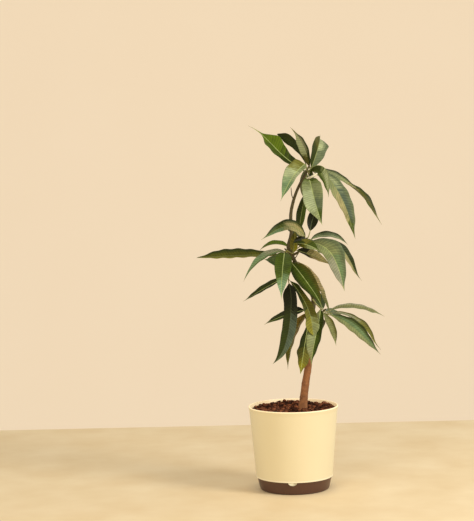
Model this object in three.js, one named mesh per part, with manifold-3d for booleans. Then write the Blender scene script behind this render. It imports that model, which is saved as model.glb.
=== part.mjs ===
// A young mango tree in its self-watering pot, in millimetres, +Z up.
// The origin is the centre of the tray's flat underside, and the tree's front faces -Y.
import * as THREE from 'three';
import { mergeVertices } from 'three/addons/utils/BufferGeometryUtils.js';
import Module from 'manifold-3d';

const wasm = await Module();
wasm.setup();

// ---- Driving sizes ----
const GAP = 0.3;                    // clearance wherever two pieces meet
const SIDE_GAP = 0.6;               // from a limb's round side, so that its bends stay clear too
const ROUND_SIDES = 40;             // facets round the pot, tray and soil

const RIM_RADIUS = 100;
const RIM_Z = 186.5;
const BEAD_HEIGHT = 5;              // thicker band at the rim
const BEAD_PROUD = 0.8;
const SKIRT_RADIUS = 85.4;          // bottom edge of the cream pot
const SKIRT_Z = 28.5;
const POT_WALL = 2.8;
const POT_FLOOR_Z = 31.5;

const TRAY_TOP_RADIUS = 83.5;
const TRAY_FOOT_RADIUS = 78;
const TRAY_EDGE = 5;                // rounding of the tray's lower edge
const TRAY_WALL = 3;
const TRAY_ARC_STEPS = 3;

const TAB_RADIUS = 10;              // half width of the rounded overflow tab under the skirt
const TAB_DROP = 7;
const TAB_THICK = 2.4;
const TAB_SIDES = 10;
const TAB_TURN = -5.2;                // degrees round the pot from the front

const SOIL_Z = 178;                 // level of the potting mix at the trunk
const SOIL_LUMP = 4;                // height of its lumps
const LUMP_WAVES = [0.21, 0.19, 0.11];  // radians of each crossing wave for a millimetre
const SOIL_CALM = [30, 55];         // distances from the foot where lumps begin and are full
const SOIL_RINGS = 5;
const FOOT = [21, 0, SOIL_Z];       // centre of the trunk's flat cut

// Limbs: `line` is the centre line, `radius` its foot and tip. One that grows `on` another
// starts from its tip (at 1) or from its side (at a share of its length, `toward` a direction).
const LIMB_SIDES = 8;
const LIMB_STEP = 18;
const LIMB_LEAD = 0.3;              // share of the way to its line's first point that a limb runs straight
const FLARE_FADE = 14;              // height in which the root flare dies away
const LIMBS = {
  trunk: { line: [FOOT, [27, 0, 226], [37, 0, 285], [46, 0, 388]], radius: [9, 6.4], flare: 2.4 },
  leader_lower: {
    on: 'trunk', at: 1, radius: [5.2, 4.2],
    line: [[50, 3, 413], [47, 4, 440], [34, 7, 470], [14, 8, 500], [1, 8, 529]],
  },
  leader_upper: {
    on: 'leader_lower', at: 1, radius: [4.4, 2.8],
    line: [[3, 6, 567], [3, 4, 611], [7, 3, 634], [18, 1, 666], [37, 0, 702]],
  },
  middle_shoot: {
    on: 'leader_lower', at: 0.95, toward: [0.6, -0.5, 0.6], radius: [2.4, 2],
    line: [[24, -4, 534]],
  },
};

// Foliage. A leaf's blade starts `at` a point. Its midrib's direction is told by two angles:
// `front`, the angle seen from the front (0 right, 90 up), and `depth`, how far it turns from
// there to the back (+) or to the viewer (-). `roll` turns the blade about its midrib. Each
// lists degrees at evenly spaced places from base to tip. `ease` bends the midrib sooner (< 1)
// or later (> 1), `belly` is the share of the length where the blade is widest and `fold`
// stands in for LEAF_FOLD.
// `behind` lists the front angles of leaves that the seeded rule grows at the back.
const LEAF_STEPS = 6;
const LEAF_THICK = 0.011;           // of its length
const LEAF_FOLD = 22;               // degrees that each half is raised from flat
const LEAF_BELLY = 0.42;
const LEAF_FULLNESS = 2.02;
const LEAF_EDGE = 1;                // least half width, at base and tip
const MIDRIB_FINENESS = 4;          // steps of the midrib's curve for each section
const STALK_STEPS = 2;
const STALK_RADIUS = [1.6, 1.2];
const STALK_FLATNESS = 0.8;         // half height as a share of the radius
const STALK_BEND = { way: 0.3, rise: 0.12, lead: 0.35 };  // shares of its span that shape its curve
const STALKS_FROM = [0.4, 1];       // share of the stem's length that the stalks leave from
const VIEW_RISE = 20;               // degrees above level of the side that leaves face
const SEED = 7;
const BEHIND = {                    // ranges for the seeded leaves
  out: [14, 18], start: [70, 80], end: [44, 58], length: [128, 156], share: [0.18, 0.2], sway: [-8, 8],
};
const MASSES = {
  crown_top: {
    stem: { on: 'leader_upper', at: 1, line: [[43, 0, 714]], radius: [2.6, 2.2] },
    reach: 245,
    leaves: [
      {
        at: [36, -6, 723], front: [213, 236, 246], depth: [-50, -35],
        size: [134, 48], roll: [-10], belly: 0.3,
      },
      { at: [47, 4, 717], front: [95, 133], depth: [20, 20], size: [106, 28], roll: [45] },
      { at: [50, 2, 714], front: [67, 78], depth: [5, 84], size: [120, 40], roll: [-30] },
      {
        at: [37, 12, 706], front: [146, 141, 132, 134, 156], depth: [15, 20],
        size: [172, 40], roll: [-22], belly: 0.5,
      },
      {
        at: [41, 14, 715], front: [96, 111, 127, 150, 165], depth: [25, 30],
        size: [120, 26], roll: [60, 60, 50, 35], belly: 0.68,
      },
      {
        at: [45, -8, 692], front: [-85, -74], depth: [-68, -35],
        size: [165, 47], roll: [0], belly: 0.36,
      },
      {
        at: [45, -6, 703], front: [85, 5, -75, -92, -94], depth: [-30, -15],
        size: [119, 38], roll: [30], belly: 0.4, fold: -45,
      },
      {
        at: [65, -4, 706], front: [-27, -56, -66, -76, -74], depth: [-12, 5],
        size: [176, 39], roll: [24],
      },
      {
        at: [65, 4, 713], front: [-22, -30, -40, -59, -58], depth: [5, 5],
        size: [196, 31], roll: [10, 35, 58, 42, 50],
      },
    ],
    behind: [-72, -95, -30],
  },
  crown_middle: {
    stem: { on: 'middle_shoot', at: 1, line: [[35, -12, 555]], radius: [2.2, 1.8] },
    reach: 200,
    leaves: [
      {
        at: [31, -17, 566], front: [132, 143, 192, 211, 211], depth: [-45, -25],
        size: [136, 31], roll: [-10], belly: 0.36,
      },
      { at: [21, 8, 573], front: [83, 73], depth: [15, 15], size: [98, 23], roll: [15] },
      { at: [45, 2, 575], front: [79, 63], depth: [20, 20], size: [65, 27], roll: [-10] },
      { at: [46, -4, 556], front: [28, -50], depth: [30, 35], size: [112, 20], roll: [25] },
      {
        at: [43, -14, 551], front: [-3, -33, -65, -77, -80], depth: [-40, -15],
        size: [156, 40], roll: [5], belly: 0.45,
      },
      { at: [57, -3, 550], front: [4, -17, -56, -68, -48], depth: [5, 5], size: [147, 23], roll: [32] },
      { at: [14, -11, 533], front: [-12, -33], depth: [-45, -30], size: [98, 28], roll: [120] },
      { at: [15, -20, 549], front: [0, -38], depth: [-30, -30], size: [58, 26], roll: [10] },
      { at: [36, -20, 556], front: [180, 200], depth: [-20, -20], size: [34, 22], roll: [-20] },
    ],
    behind: [-40, 138],
  },
  crown_left_front: {
    stem: {
      on: 'leader_upper', at: 0.02, toward: [-1, -1, 0.1],
      line: [[-9, -3, 534]], radius: [2, 1.6],
    },
    reach: 165,
    leaves: [
      {
        at: [-12, -5, 531], front: [168, 245], depth: [-35, -25],
        size: [136, 23], roll: [-35], ease: 0.75, belly: 0.38,
      },
      {
        at: [-13, -10, 529], front: [256, 268], depth: [-65, -30],
        size: [145, 41], roll: [0], belly: 0.35,
      },
      { at: [-10, 0, 499], front: [155, 168], depth: [-20, -20], size: [54, 30], roll: [-10] },
      { at: [7, -6, 528], front: [84, 88], depth: [-10, -10], size: [52, 20], roll: [10], belly: 0.4 },
    ],
    behind: [],
  },
  crown_left_back: {
    stem: {
      on: 'leader_lower', at: 0.96, toward: [-0.6, 0.8, 0.1],
      line: [[-9, 18, 527]], radius: [2, 1.6],
    },
    reach: 225,
    leaves: [
      { at: [-4, 18, 540], front: [153, 223], depth: [35, 35], size: [82, 24], roll: [-45] },
      {
        at: [-13, 19, 521], front: [178, 184], depth: [10, 10],
        size: [200, 37], roll: [-36], belly: 0.58,
      },
      { at: [-9, 19, 473], front: [207, 214], depth: [20, 20], size: [120, 21], roll: [-32] },
    ],
    behind: [258, 272],
  },
  crown_lower: {
    stem: {
      on: 'leader_lower', at: 0.83, toward: [-0.2, -1, 0],
      line: [[6, -6, 501]], radius: [2.2, 1.8],
    },
    reach: 240,
    leaves: [
      {
        at: [3, -10, 505], front: [-49, -54, -56, -70], depth: [-45, -40],
        size: [148, 43], roll: [0], belly: 0.38,
      },
      {
        at: [19, -5, 506], front: [-38, -58, -70, -66], depth: [-22, -18],
        size: [146, 22], roll: [112],
      },
      {
        at: [-4, -8, 468], front: [-47, -57, -65, -80, -88], depth: [-28, -20],
        size: [144, 28], roll: [30, 10], belly: 0.62,
      },
      {
        at: [-5, -18, 462], front: [-76, -94, -99, -110, -142], depth: [-15, -10],
        size: [190, 37], roll: [-12], belly: 0.47,
      },
    ],
    behind: [],
  },
  crown_fork_left: {
    stem: { on: 'trunk', at: 0.95, toward: [-1, 0.3, 0.1], line: [[32, 5, 392]], radius: [2.2, 1.8] },
    reach: 165,
    leaves: [
      {
        at: [38, 10, 392], front: [213, 267], depth: [5, -5],
        size: [138, 33], roll: [-125], ease: 0.5,
      },
      { at: [31, 10, 398], front: [191, 208], depth: [15, 10], size: [100, 22], roll: [-25] },
      {
        at: [37, -13, 372], front: [-103, -99], depth: [-20, -10],
        size: [116, 33], roll: [20], belly: 0.55,
      },
    ],
    behind: [],
  },
  crown_fork_right: {
    stem: {
      on: 'trunk', at: 0.93, toward: [1, -0.2, 0.4],
      line: [[60, -3, 386], [72, -4, 397]], radius: [2.6, 2],
    },
    reach: 200,
    leaves: [
      { at: [86, 2, 397], front: [24, -31], depth: [20, 30], size: [149, 20], roll: [38], ease: 0.6 },
      { at: [88, 0, 391], front: [5, -24, -42, -63, -47], depth: [5, 5], size: [149, 20], roll: [50] },
      {
        at: [88, -8, 387], front: [-17, -38, -46, -48], depth: [-22, -18],
        size: [143, 27], roll: [14],
      },
      { at: [70, -12, 394], front: [-60, -81], depth: [-35, -30], size: [87, 24], roll: [35] },
      {
        at: [64, -16, 402], front: [-99, -107, -105, -97], depth: [-45, -25],
        size: [145, 31], roll: [-10],
      },
    ],
    behind: [-98, -36, 115],
  },
};

// ---- Materials ----
function finish(color, roughness) {
  return new THREE.MeshStandardMaterial({ color, roughness, metalness: 0 });
}
const cream = finish('#f3e2b4', 0.45);
const brown = finish('#4d3226', 0.5);
const mix = finish('#3a1d15', 0.95);
const bark = finish('#8a6243', 0.85);
const greenBark = finish('#5c5226', 0.7);
const leafGreen = finish('#4f7038', 0.45);

// ---- Small helpers ----
const degrees = THREE.MathUtils.degToRad;
const mixed = THREE.MathUtils.lerp;
const point = (xyz) => new THREE.Vector3(...xyz);

// Random numbers from a seed, the same on every run.
function seeded(seed) {
  let state = seed;
  return ([low, high]) => {
    state = (state + 0x6d2b79f5) | 0;
    let t = Math.imul(state ^ (state >>> 15), 1 | state);
    t = (t + Math.imul(t ^ (t >>> 7), 61 | t)) ^ t;
    return low + (high - low) * (((t ^ (t >>> 14)) >>> 0) / 4294967296);
  };
}

// A closed mesh from rings of points. Each end is closed by `cap`, triangles of ring indices.
function skin(rings, cap) {
  const count = rings[0].length;
  const last = (rings.length - 1) * count;
  const faces = [];
  for (let row = 0; row + 1 < rings.length; row += 1) {
    for (let side = 0; side < count; side += 1) {
      const here = row * count + side;
      const next = row * count + ((side + 1) % count);
      faces.push(here, next, next + count, here, next + count, here + count);
    }
  }
  for (const [a, b, c] of cap) {
    faces.push(a, c, b, last + a, last + b, last + c);
  }
  const geometry = new THREE.BufferGeometry();
  const numbers = rings.flat().flatMap((p) => p.toArray());
  geometry.setAttribute('position', new THREE.Float32BufferAttribute(numbers, 3));
  geometry.setIndex(faces);
  return geometry;
}

function fan(count) {
  return Array.from({ length: count - 2 }, (_, side) => [0, side + 1, side + 2]);
}

// ---- Between three.js geometry and solids ----
function toSolid(geometry) {
  const bare = geometry.clone();
  bare.deleteAttribute('normal');
  bare.deleteAttribute('uv');
  const merged = mergeVertices(bare, 1e-4);
  return new wasm.Manifold(new wasm.Mesh({
    numProp: 3,
    vertProperties: new Float32Array(merged.attributes.position.array),
    triVerts: new Uint32Array(merged.index.array),
  }));
}

function toGeometry(solid) {
  const mesh = solid.getMesh();
  const geometry = new THREE.BufferGeometry();
  geometry.setAttribute('position', new THREE.BufferAttribute(mesh.vertProperties, 3));
  geometry.setIndex(new THREE.BufferAttribute(mesh.triVerts, 1));
  geometry.computeVertexNormals();
  return geometry;
}

// ---- Pot, tray and soil ----
function turned(outline, sides) {
  const geometry = new THREE.LatheGeometry(outline.map(([r, z]) => new THREE.Vector2(r, z)), sides);
  return geometry.rotateX(Math.PI / 2);
}

// Outer radius of the pot's straight wall at a height.
function potRadius(z) {
  const share = (z - SKIRT_Z) / (RIM_Z - SKIRT_Z);
  return mixed(SKIRT_RADIUS, RIM_RADIUS - BEAD_PROUD, share);
}

function potShell() {
  const beadZ = RIM_Z - BEAD_HEIGHT;
  const ledgeZ = POT_FLOOR_Z - POT_WALL;
  const outline = [
    [0, ledgeZ],
    [potRadius(ledgeZ) - POT_WALL, ledgeZ],
    [SKIRT_RADIUS - POT_WALL, SKIRT_Z],
    [SKIRT_RADIUS, SKIRT_Z],
    [potRadius(beadZ), beadZ],
    [RIM_RADIUS, beadZ + BEAD_PROUD],
    [RIM_RADIUS, RIM_Z - BEAD_PROUD],
    [RIM_RADIUS - BEAD_PROUD, RIM_Z],
    [RIM_RADIUS - POT_WALL, RIM_Z],
    [potRadius(POT_FLOOR_Z) - POT_WALL, POT_FLOOR_Z],
    [0, POT_FLOOR_Z],
  ];
  return turned(outline, ROUND_SIDES);
}

function overflowTab() {
  const arc = new THREE.Shape();
  arc.moveTo(-TAB_RADIUS, 0);
  for (let step = 1; step <= TAB_SIDES; step += 1) {
    const turn = Math.PI * (1 + step / TAB_SIDES);
    arc.lineTo(TAB_RADIUS * Math.cos(turn), TAB_DROP * Math.sin(turn));
  }
  const geometry = new THREE.ExtrudeGeometry(arc, { depth: TAB_THICK, bevelEnabled: false });
  geometry.rotateX(Math.PI / 2);
  geometry.translate(0, -(SKIRT_RADIUS - TAB_THICK / 2), SKIRT_Z + POT_WALL / 2);
  return geometry.rotateZ(degrees(TAB_TURN));
}

function trayCup() {
  const outline = [[0, 0]];
  for (let step = 0; step <= TRAY_ARC_STEPS; step += 1) {
    const turn = (Math.PI / 2) * (step / TRAY_ARC_STEPS);
    outline.push([
      TRAY_FOOT_RADIUS - TRAY_EDGE * (1 - Math.sin(turn)),
      TRAY_EDGE * (1 - Math.cos(turn)),
    ]);
  }
  const topZ = SKIRT_Z - GAP;
  outline.push([TRAY_TOP_RADIUS, topZ]);
  outline.push([TRAY_TOP_RADIUS - TRAY_WALL, topZ]);
  outline.push([TRAY_FOOT_RADIUS - TRAY_WALL, TRAY_WALL]);
  outline.push([0, TRAY_WALL]);
  return turned(outline, ROUND_SIDES);
}

// Height of the mix above SOIL_Z: lumps that die away at the wall and round the trunk's foot.
function lump(x, y) {
  const [wide, deep, slanted] = LUMP_WAVES;
  const waves = Math.sin(x * wide + 1) * Math.cos(y * deep) + Math.sin((x + y) * slanted + 2);
  const fromFoot = Math.hypot(x - FOOT[0], y - FOOT[1]);
  const calm = THREE.MathUtils.smoothstep(fromFoot, ...SOIL_CALM);
  return calm * (SOIL_LUMP / 2) * (1 + waves / 2);
}

function soilPlug() {
  const topZ = SOIL_Z - GAP;
  const bottomZ = POT_FLOOR_Z + GAP;
  const wall = POT_WALL + GAP * 2;
  const topRadius = potRadius(topZ) - wall;
  const outline = [[0, bottomZ], [potRadius(bottomZ) - wall, bottomZ], [topRadius, topZ]];
  for (let ring = SOIL_RINGS - 1; ring >= 0; ring -= 1) {
    outline.push([topRadius * (ring / SOIL_RINGS), topZ]);
  }
  const geometry = turned(outline, ROUND_SIDES);
  const places = geometry.attributes.position;
  for (let index = 0; index < places.count; index += 1) {
    const [x, y, z] = [places.getX(index), places.getY(index), places.getZ(index)];
    if (z > topZ - 1 && Math.hypot(x, y) < topRadius - 1) {
      places.setZ(index, z + lump(x, y));
    }
  }
  return geometry;
}

// ---- Limbs ----
function lineOf(spec) {
  if (!spec.on) {
    return { curve: new THREE.CatmullRomCurve3(spec.line.map(point)), spec };
  }
  const parent = limbs[spec.on];
  const centre = parent.curve.getPointAt(spec.at);
  const along = parent.curve.getTangentAt(spec.at);
  let start;
  let heading;
  if (spec.at === 1) {
    heading = along;
    start = centre.clone().addScaledVector(heading, GAP);
  } else {
    const side = point(spec.toward);
    heading = side.addScaledVector(along, -side.dot(along)).normalize();
    start = centre.clone().addScaledVector(heading, limbRadius(parent, spec.at) + SIDE_GAP);
  }
  const reach = start.distanceTo(point(spec.line[0]));
  const lead = start.clone().addScaledVector(heading, reach * LIMB_LEAD);
  return { curve: new THREE.CatmullRomCurve3([start, lead, ...spec.line.map(point)]), spec };
}

function limbRadius({ curve, spec }, share) {
  const flare = (spec.flare ?? 0) * Math.exp((-share * curve.getLength()) / FLARE_FADE);
  return mixed(spec.radius[0], spec.radius[1], share) + flare;
}

function tube(curve, radiusAt, sides, steps, flatFoot) {
  const frames = curve.computeFrenetFrames(steps);
  const rings = [];
  for (let step = 0; step <= steps; step += 1) {
    const share = step / steps;
    const centre = curve.getPointAt(share);
    const ring = [];
    for (let side = 0; side < sides; side += 1) {
      const turn = (2 * Math.PI * side) / sides;
      const spot = centre.clone()
        .addScaledVector(frames.normals[step], radiusAt(share) * Math.cos(turn))
        .addScaledVector(frames.binormals[step], radiusAt(share) * Math.sin(turn));
      if (flatFoot && step === 0) {
        spot.z = centre.z;
      }
      ring.push(spot);
    }
    rings.push(ring);
  }
  return skin(rings, fan(sides));
}

function limbSolid(limb) {
  const steps = Math.max(2, Math.round(limb.curve.getLength() / LIMB_STEP));
  return toSolid(tube(limb.curve, (share) => limbRadius(limb, share), LIMB_SIDES, steps, !limb.spec.on));
}

// ---- Leaves ----
const VIEW = new THREE.Vector3(0, -Math.cos(degrees(VIEW_RISE)), Math.sin(degrees(VIEW_RISE)));

// The value at a share of the way through a list of evenly spaced ones.
function turning(keys, share) {
  const place = share * (keys.length - 1);
  const before = Math.floor(place);
  return mixed(keys[before], keys[before + 1] ?? keys[before], place - before);
}

function midribDirection(leaf, share) {
  const eased = share ** (leaf.ease ?? 1);
  const front = degrees(turning(leaf.front, eased));
  const depth = degrees(turning(leaf.depth, eased));
  return new THREE.Vector3(
    Math.cos(front) * Math.cos(depth),
    Math.sin(depth),
    Math.sin(front) * Math.cos(depth),
  );
}

// Points on the midrib, one for each of the leaf's sections from base to tip.
function midrib(leaf) {
  const place = point(leaf.at);
  const places = [place.clone()];
  const count = LEAF_STEPS * MIDRIB_FINENESS;
  for (let step = 0; step < count; step += 1) {
    place.addScaledVector(midribDirection(leaf, (step + 0.5) / count), leaf.size[0] / count);
    if ((step + 1) % MIDRIB_FINENESS === 0) {
      places.push(place.clone());
    }
  }
  return places;
}

// Half width as a share of the greatest half width.
function leafProfile(share, belly) {
  const rise = belly * LEAF_FULLNESS;
  const fall = (1 - belly) * LEAF_FULLNESS;
  return (share ** rise * (1 - share) ** fall) / (belly ** rise * (1 - belly) ** fall);
}

// The way the upper face looks, square to the midrib.
function faceUp(along, roll) {
  const facing = VIEW.clone().addScaledVector(along, -VIEW.dot(along)).normalize();
  const across = new THREE.Vector3().crossVectors(facing, along);
  return facing.multiplyScalar(Math.cos(roll)).addScaledVector(across, Math.sin(roll));
}

// A six-cornered section: a V of two halves, each raised by the fold, with some thickness.
function section(place, along, up, half, lift, fold) {
  const side = new THREE.Vector3().crossVectors(up, along).normalize();
  const spot = (across, rise) => place.clone()
    .addScaledVector(side, across * half * Math.cos(fold))
    .addScaledVector(up, Math.abs(across) * half * Math.sin(fold) + rise);
  return [spot(0, lift), spot(-1, lift), spot(-1, -lift), spot(0, -lift), spot(1, -lift), spot(1, lift)];
}

// The stalk leaves the stem's centre line and arrives in line with the midrib.
function stalkSections(leaf, stem, share, up) {
  const start = stem.curve.getPointAt(share);
  const end = point(leaf.at);
  const span = start.distanceTo(end);
  const off = start.clone().lerp(end, STALK_BEND.way)
    .addScaledVector(stem.curve.getTangentAt(share), span * STALK_BEND.rise);
  const into = end.clone().addScaledVector(midribDirection(leaf, 0), -span * STALK_BEND.lead);
  const curve = new THREE.CubicBezierCurve3(start, off, into, end);
  const sections = [];
  for (let step = 0; step < STALK_STEPS; step += 1) {
    const at = step / STALK_STEPS;
    const radius = mixed(...STALK_RADIUS, at);
    const along = curve.getTangent(at);
    const square = up.clone().addScaledVector(along, -up.dot(along)).normalize();
    sections.push(section(curve.getPoint(at), along, square, radius, radius * STALK_FLATNESS, 0));
  }
  return sections;
}

function bladeSections(leaf) {
  const [length, width] = leaf.size;
  const belly = leaf.belly ?? LEAF_BELLY;
  return midrib(leaf).map((place, step) => {
    const share = step / LEAF_STEPS;
    const along = midribDirection(leaf, share);
    const up = faceUp(along, degrees(turning(leaf.roll, share)));
    const half = Math.max(LEAF_EDGE, (width / 2) * leafProfile(share, belly));
    return section(place, along, up, half, (LEAF_THICK * length) / 2, degrees(leaf.fold ?? LEAF_FOLD));
  });
}

function leafSolid(leaf, stem, share) {
  const up = faceUp(midribDirection(leaf, 0), degrees(leaf.roll[0]));
  const rings = [...stalkSections(leaf, stem, share, up), ...bladeSections(leaf)];
  return toSolid(skin(rings, [[0, 1, 2], [0, 2, 3], [0, 3, 4], [0, 4, 5]]));
}

// A leaf at the back of the crown, by the seeded rule.
function leafBehind(front, stem, random) {
  const length = random(BEHIND.length);
  const leaf = {
    front: [front, front + random(BEHIND.sway)],
    depth: [random(BEHIND.start), random(BEHIND.end)],
    size: [length, length * random(BEHIND.share)],
    roll: [random(BEHIND.sway), random(BEHIND.sway)],
  };
  leaf.at = stem.curve.getPointAt(1).addScaledVector(midribDirection(leaf, 0), random(BEHIND.out)).toArray();
  return leaf;
}

function touches(solid, others) {
  return others.some((other) => solid.intersect(other).volume() > 0);
}

function leavesSpace(leaf, stem, reach) {
  const foot = stem.curve.getPointAt(0);
  return midrib(leaf).some((place) => place.distanceTo(foot) > reach);
}

// One mass: its stem with every leaf that keeps to the mass's space and clear of the rest.
function massSolid(mass, stem, stemSolid, others, random) {
  const leaves = [...mass.leaves, ...mass.behind.map((front) => leafBehind(front, stem, random))];
  let solid = stemSolid;
  leaves.forEach((leaf, index) => {
    const share = mixed(...STALKS_FROM, index / leaves.length);
    const whole = leafSolid(leaf, stem, share);
    if (!leavesSpace(leaf, stem, mass.reach) && !touches(whole, others)) {
      solid = solid.add(whole);
    }
  });
  return solid;
}

// ---- The object ----
const group = new THREE.Group();
const solids = {};

function addPiece(name, solid, material) {
  solids[name] = solid;
  const mesh = new THREE.Mesh(toGeometry(solid), material);
  mesh.name = name;
  group.add(mesh);
}

addPiece('tray', toSolid(trayCup()), brown);
addPiece('pot', toSolid(potShell()).add(toSolid(overflowTab())), cream);
addPiece('soil', toSolid(soilPlug()), mix);

const limbs = {};
for (const [name, spec] of Object.entries(LIMBS)) {
  limbs[name] = lineOf(spec);
  addPiece(name, limbSolid(limbs[name]), name === 'trunk' ? bark : greenBark);
}

const stems = {};
const stemSolids = {};
for (const [name, mass] of Object.entries(MASSES)) {
  stems[name] = lineOf(mass.stem);
  stemSolids[name] = limbSolid(stems[name]);
}

const random = seeded(SEED);
for (const [name, mass] of Object.entries(MASSES)) {
  const otherStems = Object.keys(MASSES).filter((other) => other !== name).map((other) => stemSolids[other]);
  const others = [...Object.values(solids), ...otherStems];
  addPiece(name, massSolid(mass, stems[name], stemSolids[name], others, random), leafGreen);
}

export default group;
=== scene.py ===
# The looks of a young mango tree in its self-watering pot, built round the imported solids.
import math

import bpy
import numpy as np
from mathutils import Matrix, Vector


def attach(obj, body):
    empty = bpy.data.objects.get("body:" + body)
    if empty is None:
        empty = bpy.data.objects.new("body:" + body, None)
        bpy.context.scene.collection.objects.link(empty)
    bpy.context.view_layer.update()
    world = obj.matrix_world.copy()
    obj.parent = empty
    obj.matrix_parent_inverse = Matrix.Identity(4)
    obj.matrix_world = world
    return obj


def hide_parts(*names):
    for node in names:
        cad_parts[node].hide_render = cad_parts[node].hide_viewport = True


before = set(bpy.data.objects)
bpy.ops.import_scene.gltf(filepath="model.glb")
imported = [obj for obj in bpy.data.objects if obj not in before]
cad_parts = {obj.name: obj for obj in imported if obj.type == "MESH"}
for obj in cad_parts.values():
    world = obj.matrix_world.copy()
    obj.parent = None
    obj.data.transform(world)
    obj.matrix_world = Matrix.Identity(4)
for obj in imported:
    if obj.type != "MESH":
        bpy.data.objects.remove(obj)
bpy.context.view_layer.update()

MM = 0.001  # sizes are in millimetres, but for the stage's, and meshes are made in metres

# ---- Camera, fitted to the pot's rim, skirt and tray ----
CAMERA_AT = (-118.5, -3335, 724)
CAMERA_TILT = 3.62  # degrees down
CAMERA_ROLL = 1.25
CAMERA_LENS = 104
CAMERA_SENSOR = 36

# ---- Pot, tray and potting mix, as in the solids ----
GAP = 0.3
RIM_RADIUS = 100
RIM_Z = 186.5
BEAD_HEIGHT = 5
BEAD_PROUD = 0.8
LIP_PROUD = 0.7  # the skirt's lip
LIP_HEIGHT = 1.6
RIM_BAND = 2.2  # height of the rim band, which gets a painted highlight
SKIRT_RADIUS = 85.4
SKIRT_Z = 28.5
POT_WALL = 2.8
UNDERSIDE_INSET = 2  # how far the raised underside ends inside the wall
TRAY_TOP_RADIUS = 83.5
TRAY_FOOT_RADIUS = 78
TRAY_EDGE = 5
TRAY_WALL = 3
TAB_RADIUS = 10
TAB_DROP = 7
TAB_TURN = -5.2
TAB_PROUD = 0.5
TAB_ROOT = -2.2  # its back, inside the skirt
TAB_BEVEL = 0.35
TAB_FACE = 0.955  # size of its flat face as a share of its outline
TAB_TOP = 0.4  # how far it reaches up into the skirt
TAB_LEAN = 0.03
TAB_STEPS = 33
SOIL_Z = 178
FOOT = (21, 0, SOIL_Z)
ROUND_SIDES = 160
POT_ROUNDING = 1.1  # fillets of the moulded edges
TRAY_ROUNDING = 0.7
ROUNDING_STEPS = 5
ROUNDING_ROOM = 2.2  # a curve takes at most the edge's length over this
FOOT_STEPS = 9  # of the tray's rounded foot

# ---- Limbs: the same rule and sizes as the solids ----
SIDE_GAP = 0.6
LIMB_LEAD = 0.3
FLARE_FADE = 14
LIMBS = {
    "trunk": dict(line=[FOOT, (27, 0, 226), (37, 0, 285), (46, 0, 388)], radius=(9, 6.4), flare=2.4),
    "leader_lower": dict(on="trunk", at=1, radius=(5.2, 4.2),
                         line=[(50, 3, 413), (47, 4, 440), (34, 7, 470), (14, 8, 500), (1, 8, 529)]),
    "leader_upper": dict(on="leader_lower", at=1, radius=(4.4, 2.8),
                         line=[(3, 6, 567), (3, 4, 611), (7, 3, 634), (18, 1, 666), (37, 0, 702)]),
    "middle_shoot": dict(on="leader_lower", at=0.95, toward=(0.6, -0.5, 0.6), radius=(2.4, 2),
                         line=[(24, -4, 534)]),
}
LIMB_SIDES = 28
LIMB_STEP = 1.6
LIMB_LEAST_ROWS = 8
COLLAR_FADE = 7  # length over which a limb widens into its carrier
COLLAR_SHARE = 0.35  # of its radius, where it leaves the other's side
NODE_SPACING = {"trunk": 31, "leader_lower": 17, "leader_upper": 15, "middle_shoot": 12}
NODE_ENDS = (0.7, 0.4)  # spacings left free at foot and tip
NODE_STRAY = 0.2
NODE_SWELL = 0.06
NODE_WIDTH = 1.7
BARK_ROUGHNESS = 0.045  # relief as a share of the radius
BARK_RIDGES = (2, 3, 5, 8, 11)  # waves round the limb
BARK_DRIFT = (-2, 2)
BARK_TWIST = 6
BARK_BEATS = (3, 12)
BARK_BEAT_RATE = 3
BARK_FALL = 0.6  # how fast the ridges get lower as they get finer
BARK_GRIT = 0.25
TURN = 6.3  # a whole turn in radians, as the random draws take it
LOOSE_STALKS = [  # those whose leaf has dropped, and a near-white one
    dict(line=[(11, 2, 642), (6, 0, 655), (4.5, -2, 672)], radius=(1.2, 0.8), look="green_bark"),
    dict(line=[(39, -14, 691), (50, -24, 695), (62, -24, 702)], radius=(2.8, 2.4), look="stalk_pale"),
    dict(line=[(5, -2, 506), (12, -6, 518), (20, -10, 530)], radius=(1.2, 1), look="green_bark"),
    dict(line=[(47, -7, 424), (56, -10, 412), (68, -12, 400)], radius=(1.8, 1.4), look="stalk"),
]

# ---- Foliage: the same leaves as the solids, each with its looks ----
LEAF_FOLD = 22
LEAF_BELLY = 0.42
LEAF_FULLNESS = 2.02
VIEW_RISE = 20
SEED = 7
STALK_RADIUS = (1.5, 1.05)
STALK_BEND = {"way": 0.3, "rise": 0.12, "lead": 0.35}
STALKS_FROM = (0.4, 1)
STALK_STEPS = 14
STALK_SIDES = 10
STALK_SWELL = 0.45  # the thicker heel
STALK_HEEL = 0.22  # its share of the length
STALK_END = {"radius": 0.3, "into": 4}  # its point, inside the blade
BUD = {"length": 9, "sunk": 1, "radius": 1.9, "steps": 9, "blunt": 1.6, "least": 0.01, "belly": (0.75, 0.5)}
BEHIND = {
    "out": (14, 18), "start": (70, 80), "end": (44, 58),
    "length": (128, 156), "share": (0.18, 0.2), "sway": (-8, 8),
}
BEHIND_TINTS = ("green", "dark", "slate")
SPINE_STEPS = 160
VEIN_PITCH = 6.2
LEAST_VEINS = 3
VEIN_ROWS = (0.12, 0.5, 0.88)  # rows of vertices for each side vein, as shares of the pitch
VEIN_SLANT = 0.6  # how far a side vein leans to the tip for each millimetre outwards
VEIN_RELIEF = 0.35  # how far the blade rises between its side veins
STRIPES = (1.1, 1, 0.93)  # lightness of the faces along a side vein, paler as veins are, of the blade after it, and of the blade before the next vein, darkened as painted shade of the swell
COLUMNS = (0, 0.22, 0.45, 0.68, 0.88, 1)  # columns of vertices from the midrib's edge to the margin
REACHES = (*COLUMNS[::-1], 0, *COLUMNS)  # the same over both halves, with the midrib's own column
MIDRIB = len(COLUMNS)  # number of that column
LEAF_THICK = (0.45, 0.22)  # at the midrib and the margin
LEAF_LEAST = 0.25  # the least width of half a leaf
LEAF_ARCH = 0.18  # how far the folded halves arch
BUMP_FADE = 3  # how fast a bump starts at the ends of the blade
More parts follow.
